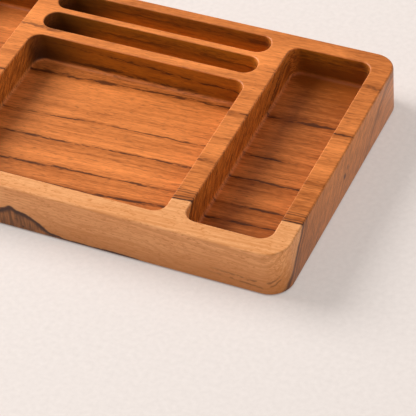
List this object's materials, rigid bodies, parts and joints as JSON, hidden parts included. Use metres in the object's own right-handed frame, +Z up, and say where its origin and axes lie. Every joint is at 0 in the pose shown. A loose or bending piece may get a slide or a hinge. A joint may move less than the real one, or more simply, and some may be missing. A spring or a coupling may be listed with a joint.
{
  "type": "desk organizer tray",
  "caption": "Low wooden desk tray milled from one plank, with a centre pocket, pen slots behind it and a long pocket at each end, on thin stick-on pads.",
  "frame": {"origin": "middle of the base, on the surface that the tray stands on", "axes": "+X along the length, +Y from the front rim to the back rim behind the pen slots, +Z up"},
  "size_m": [0.2478, 0.1508, 0.0264],
  "materials": {
    "oiled_teak": "sanded and oiled, satin",
    "pad_rubber": "matte"
  },
  "bodies": {
    "root": {"tray_body": "oiled_teak", "pad_front_left": "pad_rubber", "pad_front_right": "pad_rubber", "pad_rear_left": "pad_rubber", "pad_rear_right": "pad_rubber"}
  },
  "joints": []
}
